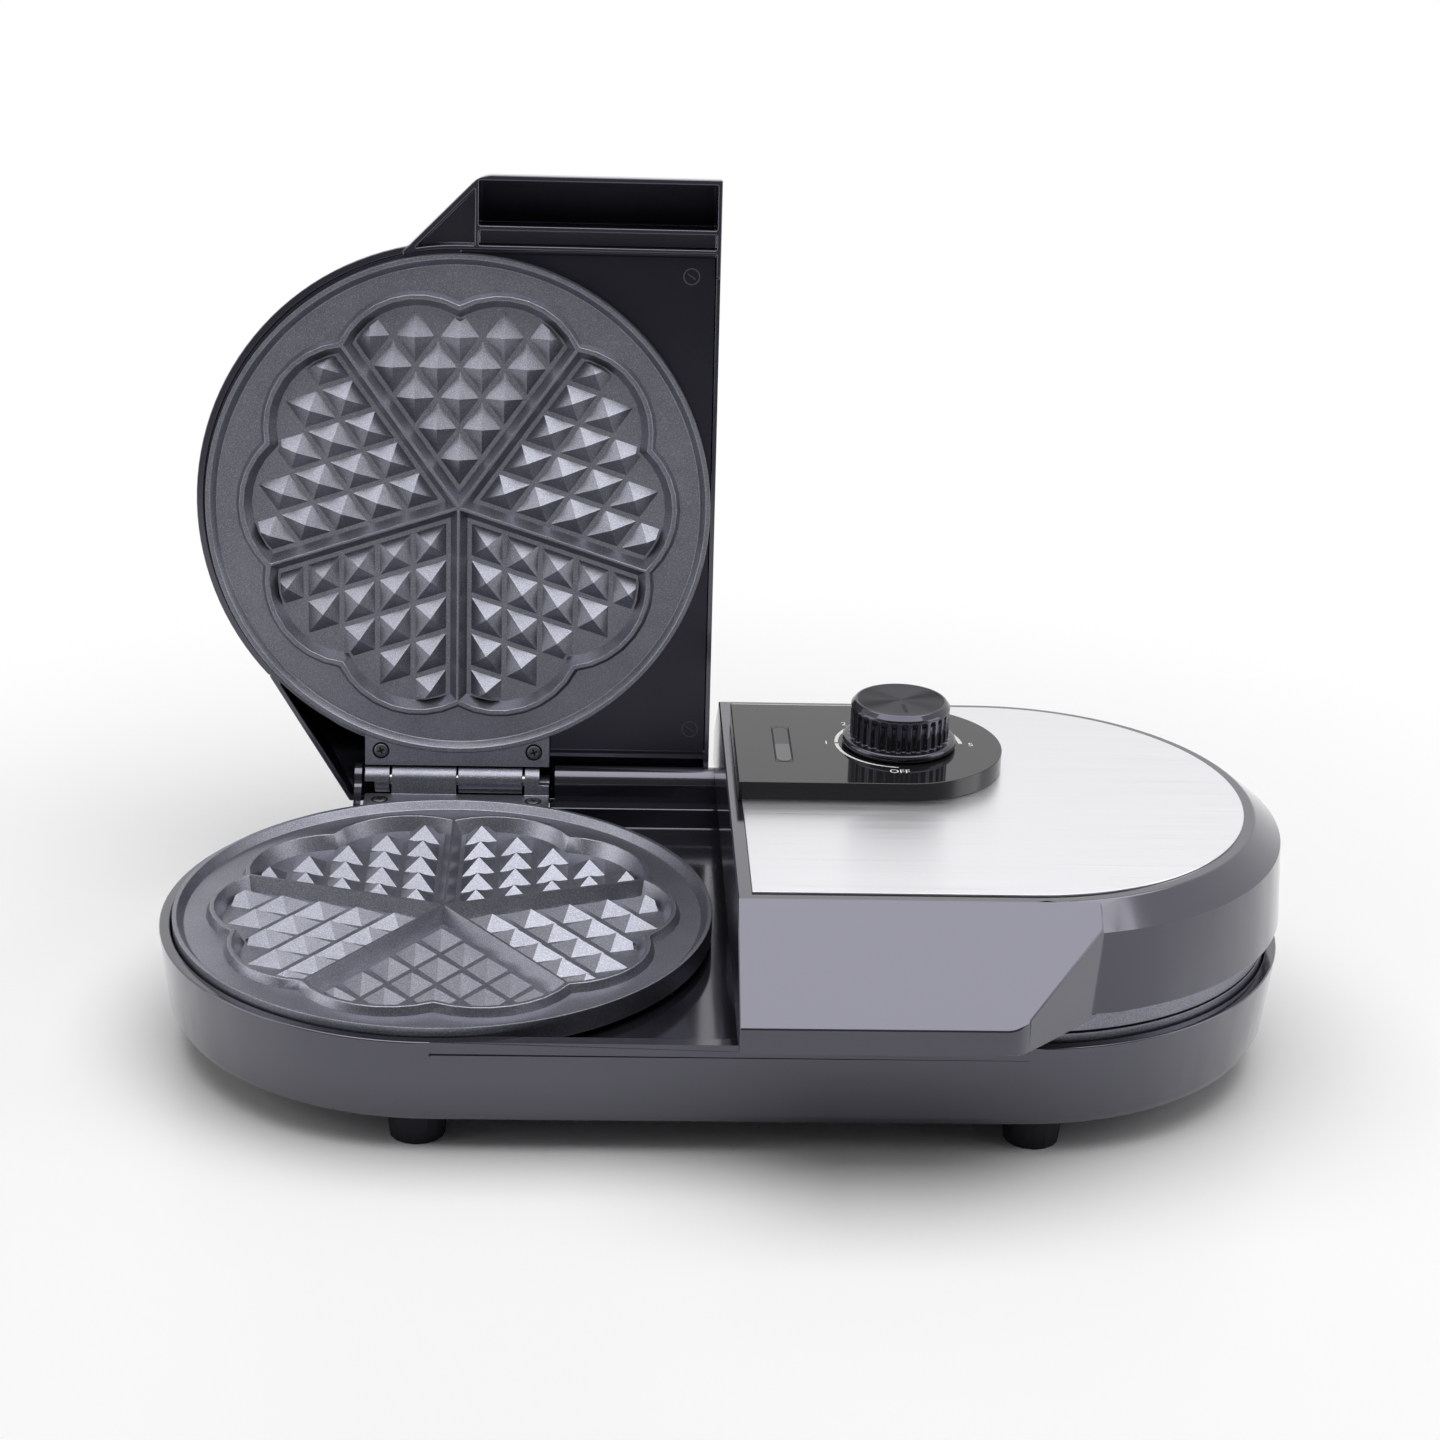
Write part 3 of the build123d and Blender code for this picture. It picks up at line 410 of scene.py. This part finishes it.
def flaws(mesh):
    """Points where the outline of a face crosses itself."""
    mesh.calc_loop_triangles()
    covered = [0.0] * len(mesh.polygons)
    for triangle in mesh.loop_triangles:
        covered[triangle.polygon_index] += triangle.area
    points = []
    for polygon in mesh.polygons:
        if abs(covered[polygon.index] - polygon.area) < AREA_TOLERANCE:
            continue
        corners = [mesh.vertices[index].co for index in polygon.vertices]
        if len(corners) < FEWEST_CORNERS:
            points.append(polygon.center.copy())
            continue
        flat = polygon.normal.to_track_quat("Z", "Y").to_matrix().inverted()
        plan = [(flat @ corner).xy for corner in corners]
        count = len(plan)
        for one in range(count):
            for two in range(one + 2, count - (one == 0)):
                if intersect_line_line_2d(plan[one], plan[(one + 1) % count], plan[two], plan[(two + 1) % count]):
                    points.append((corners[one] + corners[(one + 1) % count]) / 2)
    return points


def settle(piece):
    """Carry a piece's modifiers over into its mesh."""
    bpy.context.view_layer.update()
    result = bpy.data.meshes.new_from_object(piece.evaluated_get(bpy.context.evaluated_depsgraph_get()))
    piece.modifiers.clear()
    piece.data = result


def turned(work, rings, steps, modulation=None, material=0):
    """Rings of a turned form, joined into walls; radius zero closes an end."""
    loops = []
    for radius, height, *rest in rings:
        if radius == 0:
            loops.append([work.verts.new((0, 0, height))])
            continue
        weight = rest[0] if rest else 0
        loop = []
        for step in range(steps):
            turn = 2 * pi * step / steps
            reach = radius - (modulation(turn) * weight if modulation else 0)
            loop.append(work.verts.new((reach * cos(turn), reach * sin(turn), height)))
        loops.append(loop)
    for lower, upper in zip(loops, loops[1:]):
        for step in range(steps):
            after = (step + 1) % steps
            if len(lower) == 1:
                face = work.faces.new((lower[0], upper[after], upper[step]))
            elif len(upper) == 1:
                face = work.faces.new((lower[step], lower[after], upper[0]))
            else:
                face = work.faces.new((lower[step], lower[after], upper[after], upper[step]))
            face.material_index = material
            face.smooth = True


def pill_outline(width, length, half, steps=14):
    """Half of a long round-ended outline, from the middle to one end."""
    straight = length / 2 - width / 2
    points = [(width / 2 * half, 0)]
    for step in range(steps + 1):
        turn = pi * step / steps
        points.append((width / 2 * cos(turn) * half, (straight + width / 2 * sin(turn)) * half))
    points.append((-width / 2 * half, 0))
    return points


CHAMFER_SHRINK = 250  # share by which a slab's top shrinks, for each metre of chamfer


def slab(work, outline, centre, low, high, edge=0.0):
    """Flat slab with a small chamfer round its top."""
    loops = []
    for shrink, height in ((1, low), (1, high - edge), (1 - edge * CHAMFER_SHRINK, high)):
        loops.append([work.verts.new((centre[0] + x * shrink, centre[1] + y * shrink, height)) for x, y in outline])
    work.faces.new(list(reversed(loops[0])))
    work.faces.new(loops[-1])
    for lower, upper in zip(loops, loops[1:]):
        for index in range(len(outline)):
            after = (index + 1) % len(outline)
            work.faces.new((lower[index], lower[after], upper[after], upper[index]))


# Rounded edges on what shows

CAST_EDGE = 0.00035
SHEET_EDGE = 0.0003
soften("base_shell", 0.0007, 3)
soften("base_panel", 0.0004, 2)
soften("lower_plates", CAST_EDGE, 2, plate_edge([lower_plate_matrix(side).inverted() for side in SIDES.values()]))
for word, side in SIDES.items():
    soften(f"upper_plate_{word}", CAST_EDGE, 2, plate_edge([upper_plate_matrix(side).inverted()]))
    soften(f"lid_shell_{word}", 0.0006, 3, lid_edge(side))
    soften(f"console_{word}", 0.0004, 3)
    soften(f"lid_cover_{word}", SHEET_EDGE, 2)
    soften(f"lid_liner_{word}", SHEET_EDGE, 2)


# Knobs

KNOB_RINGS = [  # radius, height, share of the flute's depth
    (0, 0.0), (0.0206, 0.0), (0.0219, 0.0003), (0.0223, 0.0010), (0.0223, 0.0022), (0.0221, 0.0029),
    (0.0215, 0.0033), (0.0205, 0.0034), (0.0194, 0.0034, 0.6), (0.01915, 0.0036, 1), (0.0193, 0.0042, 1),
    (0.01935, 0.0060, 1), (0.01935, 0.0125, 1), (0.01935, 0.0137, 0.9), (0.01935, 0.0143, 0.55),
    (0.01935, 0.0148, 0.15), (0.01935, 0.0151), (0.01935, 0.0164), (0.0190, 0.01665), (0.0181, 0.01800),
    (0.0178, 0.01825), (0.0174, 0.01838), (0.0170, 0.0184)]
KNOB_STEPS = 360
FLUTES = 30
FLUTE_DEPTH = 0.0010
FLUTE_HALF = 0.62  # where a flute ends, as a share of half a pitch
FLUTE_SLOPE = 0.34  # share of half a pitch over which it gets its depth
DISC_RINGS = [(0.0170, 0.0184), (0.0168, 0.01835), (0.0120, 0.01835), (0.0060, 0.01835), (0.0010, 0.01835),
              (0, 0.01835)]
DISC_STEPS = 180
SPINDLE_RADIUS = 0.0029
SPINDLE_FLAT = 0.0021  # from the spindle's axis to its flat
SPINDLE_RINGS = [  # radius, height, share of the flat's depth
    (0, -0.0180), (0.0024, -0.0180, 0.5), (SPINDLE_RADIUS, -0.0175, 1), (SPINDLE_RADIUS, -0.0040, 1),
    (SPINDLE_RADIUS, -0.0038), (SPINDLE_RADIUS, -0.0004), (0.0026, 0.0)]
SPINDLE_STEPS = 96
POINTER_SIZE = (0.0014, 0.0086)
POINTER_CENTRE = (0, -0.0093)
POINTER_HEIGHTS = (0.01832, 0.018395)
POINTER_TURN = 4
POINTER_STEPS = 8


def flute(turn):
    """Depth of a flute: flat-bottomed grooves with rounded shoulders between broad ribs."""
    phase = (turn * FLUTES / (2 * pi)) % 1
    edge = min(abs(phase - 0.5) / 0.5, 1)
    shape = min(max((FLUTE_HALF - edge) / FLUTE_SLOPE, 0), 1)
    return FLUTE_DEPTH * shape * shape * (3 - 2 * shape)


def spindle_flat(turn):
    """Depth of the flat that keys a knob to its spindle."""
    return max(SPINDLE_RADIUS - SPINDLE_FLAT / max(cos(turn), 0.01), 0)


for word, side in SIDES.items():
    centre = lid_matrix(side) @ Matrix.Translation((-side * KNOB_CENTRE[0], KNOB_CENTRE[1], KNOB_BOTTOM))
    work = bmesh.new()
    turned(work, KNOB_RINGS, KNOB_STEPS, flute)
    bmesh.ops.transform(work, matrix=centre, verts=work.verts)
    grip = make_piece(f"knob_grip_{word}", work, [KNOB], f"{word}_knob")
    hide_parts(f"knob_{word}")
    work = bmesh.new()
    turned(work, DISC_RINGS, DISC_STEPS)
    make_piece(f"knob_disc_{word}", work, [KNOB_TOP], f"{word}_knob", centre)
    work = bmesh.new()
    turned(work, SPINDLE_RINGS, SPINDLE_STEPS, spindle_flat)
    make_piece(f"knob_spindle_{word}", work, [BRIGHT], f"{word}_knob", centre)

    # Pointer: a dark line near the front of the top disc
    work = bmesh.new()
    for half in (1, -1):
        slab(work, pill_outline(*POINTER_SIZE, half, POINTER_STEPS), POINTER_CENTRE, *POINTER_HEIGHTS)
    make_piece(f"knob_pointer_{word}", work, [DARK_LINE_AND_PAINTED_SHADE], f"{word}_knob",
               centre @ Matrix.Rotation(radians(POINTER_TURN), 4, "Z"))


# Dial printing on the consoles

DIAL_HEIGHT = CONSOLE_TOP + 0.00004
DIAL_RADIUS = 0.0245
DIAL_ARCS = ((-95, -178.5, 0.0006, 0.0014), (-181.5, -358, 0.0014, 0.0016))  # start, end, first width, last width
DIAL_STEPS = 72
FIGURE_SIZE = 0.0046
FIGURES = (  # text, angle, distance from the knob's axis
    ("OFF", -94, 0.0285), ("1", 180, 0.0285), ("2", 135, 0.0284), ("3", 90, 0.0284), ("4", 45, 0.0284),
    ("5", 0, 0.0285))


def flat_arc(work, middle, start, end, first_width, last_width):
    """A flat arc of the dial, whose width changes from start to end."""
    rows = []
    for step in range(DIAL_STEPS + 1):
        share = step / DIAL_STEPS
        turn = radians(start + (end - start) * share)
        half_width = (first_width + (last_width - first_width) * share) / 2
        rows.append([work.verts.new((middle[0] + radius * cos(turn), middle[1] + radius * sin(turn), DIAL_HEIGHT))
                     for radius in (DIAL_RADIUS - half_width, DIAL_RADIUS + half_width)])
    for lower, upper in zip(rows, rows[1:]):
        work.faces.new((lower[0], lower[1], upper[1], upper[0]))


def figure(text, place, name, body):
    """A printed number or word as flat faces, centred on a place of the lid."""
    curve = bpy.data.curves.new(name, "FONT")
    curve.body = text
    curve.size = FIGURE_SIZE
    curve.align_x = "CENTER"
    curve.align_y = "CENTER"
    curve.resolution_u = 4
    source = bpy.data.objects.new(name, curve)
    bpy.context.scene.collection.objects.link(source)
    bpy.context.view_layer.update()
    mesh = bpy.data.meshes.new_from_object(source.evaluated_get(bpy.context.evaluated_depsgraph_get()))
    bpy.data.objects.remove(source)
    piece = bpy.data.objects.new(name, mesh)
    bpy.context.scene.collection.objects.link(piece)
    mesh.materials.clear()
    mesh.materials.append(PRINT)
    piece.matrix_world = place
    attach(piece, body)


for word, side in SIDES.items():
    middle = (-side * KNOB_CENTRE[0], KNOB_CENTRE[1])
    place = lid_matrix(side)
    work = bmesh.new()
    for arc in DIAL_ARCS:
        flat_arc(work, middle, *arc)
    make_piece(f"dial_arc_{word}", work, [PRINT], f"{word}_lid", place)
    for text, turn, reach in FIGURES:
        spot = (middle[0] + reach * cos(radians(turn)), middle[1] + reach * sin(radians(turn)), DIAL_HEIGHT)
        figure(text, place @ Matrix.Translation(spot), f"dial_{text.lower()}_{word}", f"{word}_lid")


# Pilot light windows: one pill with rounded ends, dark in its rear half and paler in front

BEZEL = [(0.00328, 0.01798), (-0.00328, 0.01798), (-0.00328, -0.01798), (0.00328, -0.01798)]
BEZEL_DEPTH = 0.0028
BEZEL_DROP = 0.00001
PILL_DEPTH = 0.001
SEAM_SIZE = (0.0064, 0.0356)
SEAM_RISE = 0.00002
WINDOW_SIZE = (0.0057, 0.0348)
WINDOW_RISE = 0.00006
WINDOW_EDGE = 0.00003

for word, side in SIDES.items():
    centre = (-side * LENS_CENTRE[0], LENS_CENTRE[1])
    place = lid_matrix(side)
    work = bmesh.new()
    slab(work, BEZEL, centre, CONSOLE_TOP - BEZEL_DEPTH, CONSOLE_TOP - BEZEL_DROP)
    bezel = make_piece(f"pilot_bezel_{word}", work, [CONSOLE], f"{word}_lid", place)
    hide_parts(f"lens_{word}")
    work = bmesh.new()
    for half in (1, -1):
        slab(work, pill_outline(*SEAM_SIZE, half), centre, CONSOLE_TOP - PILL_DEPTH, CONSOLE_TOP + SEAM_RISE)
    make_piece(f"pilot_seam_{word}", work, [DARK_LINE_AND_PAINTED_SHADE], f"{word}_lid", place)
    for half, material, label in ((1, LENS_DARK, "rear"), (-1, LENS_PALE, "front")):
        work = bmesh.new()
        slab(work, pill_outline(*WINDOW_SIZE, half), centre, CONSOLE_TOP - PILL_DEPTH, CONSOLE_TOP + WINDOW_RISE,
             WINDOW_EDGE)
        make_piece(f"pilot_window_{label}_{word}", work, [material], f"{word}_lid", place)


# Screws in the hinge lugs

SCREW_STEPS = 40
# a flat ring round the head, painted near-black: painted shade of the counterbore
PAINTED_COUNTERBORE_SHADE = [(0.0036, 0.00003), (0.0028, 0.00002)]
SCREW_HEAD = [(0.0027, 0.00002), (0.0027, 0.00010), (0.0025, 0.00026), (0.0021, 0.00036), (0, 0.00042)]
CROSS_TURNS = (20, 110)
CROSS_HEIGHT = 0.00041
CROSS_BAR = (0.0031, 0.0007, 0.00008)
CROSS_LOWEST = 0.00036  # centres of the cross's faces lie above it
CROSS_SMALLEST = 1e-7  # and their areas are larger


def screw(name, place, body):
    """Pan-head screw, with its cross and a flat ring round its head painted near-black as painted shade of the cross
    recess and the counterbore.
    """
    work = bmesh.new()
    # the flat ring gets the near-black material: painted shade of the counterbore
    turned(work, PAINTED_COUNTERBORE_SHADE, SCREW_STEPS, material=1)
    turned(work, SCREW_HEAD, SCREW_STEPS)
    for turn in CROSS_TURNS:
        bmesh.ops.create_cube(work, size=1, matrix=Matrix.Rotation(radians(turn), 4, "Z") @ Matrix.Translation(
            (0, 0, CROSS_HEIGHT)) @ Matrix.Diagonal((*CROSS_BAR, 1)))
    # the cross's top faces get the near-black material: painted shade of the cross recess
    for face in work.faces:
        is_high = face.calc_center_median().z > CROSS_LOWEST
        if len(face.verts) == 4 and is_high and face.calc_area() > CROSS_SMALLEST:
            face.material_index = 1
    make_piece(name, work, [SCREW, DARK_LINE_AND_PAINTED_SHADE], body, place)


for word, side in SIDES.items():
    for number, (x, y) in enumerate(LUG_SCREWS):
        seat = Matrix.Translation((x, y, LUG_TOP))
        screw(f"lug_screw_lower_{word}_{number}", lower_plate_matrix(side) @ seat, "base")
        screw(f"lug_screw_upper_{word}_{number}", upper_plate_matrix(side) @ seat, f"{word}_lid")


# Moulded marks on the liners: a ring with a short bar across, as ejector and cavity marks are. Their paler tone is a
# painted highlight for the light their raised edges catch

MARKS = ((0.0944, -0.0963), (0.0979, 0.0946))  # x counts as it does for the knobs
MARK_INNER, MARK_OUTER = 0.0030, 0.0035
MARK_STEPS = 40
MARK_DROP = 0.00008  # the liner's face looks down when the lid is shut
MARK_BAR = (0.004, 0.0004, 0.00008)
MARK_BAR_DROP = 0.00006
MARK_BAR_TURN = 35

for word, side in SIDES.items():
    work = bmesh.new()
    for inward, y in MARKS:
        x = -side * inward
        for step in range(MARK_STEPS):
            start, end = (2 * pi * (step + more) / MARK_STEPS for more in (0, 1))
            corners = [(x + reach * cos(turn), y + reach * sin(turn), LINER_FACE - MARK_DROP)
                       for turn, reach in ((start, MARK_INNER), (start, MARK_OUTER), (end, MARK_OUTER),
                                           (end, MARK_INNER))]
            work.faces.new([work.verts.new(corner) for corner in corners])
        bmesh.ops.create_cube(work, size=1, matrix=Matrix.Translation((x, y, LINER_FACE - MARK_BAR_DROP))
                              @ Matrix.Rotation(radians(MARK_BAR_TURN), 4, "Z") @ Matrix.Diagonal((*MARK_BAR, 1)))
    bmesh.ops.remove_doubles(work, verts=work.verts, dist=1e-6)
    make_piece(f"liner_marks_{word}", work, [PAINTED_HIGHLIGHT_MARK], f"{word}_lid", lid_matrix(side))


# Floor: pale and lit near the object, then running out into white paper

FLOOR_REACH = 6
PAPER_START, PAPER_END = 0.26, 0.55  # distances from the object between which it turns white

floor_mesh = bmesh.new()
bmesh.ops.create_grid(floor_mesh, x_segments=1, y_segments=1, size=FLOOR_REACH)
floor_data = bpy.data.meshes.new("floor")
floor_mesh.to_mesh(floor_data)
floor_mesh.free()
floor = bpy.data.objects.new("floor", floor_data)
bpy.context.scene.collection.objects.link(floor)
material, nodes, links, bsdf = new_material("pale_floor")
mottle = stretched(nodes, links, (1, 1, 1), Scale=3.0, Detail=2.0)
links.new(shades(nodes, links, mottle.outputs["Fac"], ((0.3, (0.93, 0.93, 0.935)), (0.7, (0.945, 0.945, 0.95)))),
          bsdf.inputs["Base Color"])
bsdf.inputs["Roughness"].default_value = 0.35
bsdf.inputs["Specular IOR Level"].default_value = 0.25
coordinates = node(nodes, "ShaderNodeTexCoord")
centred = node(nodes, "ShaderNodeVectorMath", operation="SUBTRACT")
centred.inputs[1].default_value = (0, IRON_Y, 0)
distance = node(nodes, "ShaderNodeVectorMath", operation="LENGTH")
links.new(coordinates.outputs["Object"], centred.inputs[0])
links.new(centred.outputs["Vector"], distance.inputs[0])
fade = node(nodes, "ShaderNodeMapRange", interpolation_type="SMOOTHSTEP", From_Min=PAPER_START, From_Max=PAPER_END)
links.new(distance.outputs["Value"], fade.inputs["Value"])
paper = node(nodes, "ShaderNodeEmission", Strength=1.0)
blend = node(nodes, "ShaderNodeMixShader")
links.new(fade.outputs["Result"], blend.inputs[0])
links.new(bsdf.outputs[0], blend.inputs[1])
links.new(paper.outputs[0], blend.inputs[2])
links.new(blend.outputs[0], nodes["Material Output"].inputs["Surface"])
floor_data.materials.append(material)


# White room behind and beside the object, darker behind the camera

FILL = 0.2  # the room's light on the object
FRONT_SHADE = 0.14  # share of the room's white that is left behind the camera
FRONT_START, FRONT_END = -0.85, -0.2  # of a direction's y, between which it gets there

world = bpy.data.worlds.new("studio")
bpy.context.scene.world = world
world.use_nodes = True
nodes, links = world.node_tree.nodes, world.node_tree.links
background = nodes["Background"]
path = node(nodes, "ShaderNodeLightPath")
seen = node(nodes, "ShaderNodeMath", operation="MAXIMUM")
seen_more = node(nodes, "ShaderNodeMath", operation="MAXIMUM")
links.new(path.outputs["Is Camera Ray"], seen.inputs[0])
links.new(path.outputs["Is Glossy Ray"], seen.inputs[1])
links.new(seen.outputs[0], seen_more.inputs[0])
links.new(path.outputs["Is Transmission Ray"], seen_more.inputs[1])
strength = node(nodes, "ShaderNodeMapRange", To_Min=FILL, To_Max=1.0)
links.new(seen_more.outputs[0], strength.inputs["Value"])
direction = node(nodes, "ShaderNodeTexCoord")
split = node(nodes, "ShaderNodeSeparateXYZ")
links.new(direction.outputs["Generated"], split.inputs["Vector"])
front_shade = node(nodes, "ShaderNodeMapRange", interpolation_type="SMOOTHSTEP", From_Min=FRONT_START,
                   From_Max=FRONT_END, To_Min=FRONT_SHADE, To_Max=1.0)
links.new(split.outputs["Y"], front_shade.inputs["Value"])
product = node(nodes, "ShaderNodeMath", operation="MULTIPLY")
links.new(strength.outputs["Result"], product.inputs[0])
links.new(front_shade.outputs["Result"], product.inputs[1])
links.new(product.outputs[0], background.inputs["Strength"])
background.inputs["Color"].default_value = (1, 1, 1, 1)


# Softboxes

SOFTBOXES = (  # name, place, target, size, radiance
    ("overhead", (0.05, -0.05, 1.15), (0.05, -0.05, 0.0), (1.5, 1.3), 2.4),
    ("left_box", (-1.3, -0.25, 0.55), (0, 0, 0.1), (0.8, 0.8), 1.6),
    ("right_box", (1.3, -0.25, 0.55), (0, 0, 0.1), (0.8, 0.8), 1.8),
)


def soft_light(name, place, target, size, radiance):
    """A rectangular softbox of a stated brightness."""
    data = bpy.data.lights.new(name, "AREA")
    data.shape = "RECTANGLE"
    data.size, data.size_y = size
    data.energy = radiance * pi * size[0] * size[1]
    light = bpy.data.objects.new(name, data)
    bpy.context.scene.collection.objects.link(light)
    light.location = place
    light.rotation_euler = (Vector(target) - Vector(place)).to_track_quat("-Z", "Y").to_euler()


for softbox in SOFTBOXES:
    soft_light(*softbox)


# Camera: the view the photograph was taken from

AZIMUTH = radians(-2.90)
ELEVATION = radians(21.58)
ROLL = radians(1.93)
DISTANCE = 1.14783
TARGET = Vector((0, IRON_Y, PARTING + 0.07808))
FOCAL_PIXELS = 3022.98
IMAGE = 1440.0
CENTRE_X = 727.08  # pixel column of the lens's axis
SENSOR = 36.0

back = Vector((sin(AZIMUTH) * cos(ELEVATION), -cos(AZIMUTH) * cos(ELEVATION), sin(ELEVATION)))
right = (-back).cross(Vector((0, 0, 1))).normalized()
up = right.cross(-back)
turned_right = right * cos(ROLL) + up * sin(ROLL)
turned_up = -right * sin(ROLL) + up * cos(ROLL)
camera_data = bpy.data.cameras.new("camera")
camera_data.sensor_fit = "HORIZONTAL"
camera_data.sensor_width = SENSOR
camera_data.lens = FOCAL_PIXELS / IMAGE * SENSOR
camera_data.shift_x = -(CENTRE_X - IMAGE / 2) / IMAGE
camera_data.clip_start = 0.05
camera_data.clip_end = 20.0
camera = bpy.data.objects.new("camera", camera_data)
bpy.context.scene.collection.objects.link(camera)
turn = Matrix((turned_right, turned_up, back)).transposed().to_4x4()
camera.matrix_world = Matrix.Translation(TARGET + back * DISTANCE) @ turn
bpy.context.scene.camera = camera
bpy.context.scene.view_settings.view_transform = "Standard"
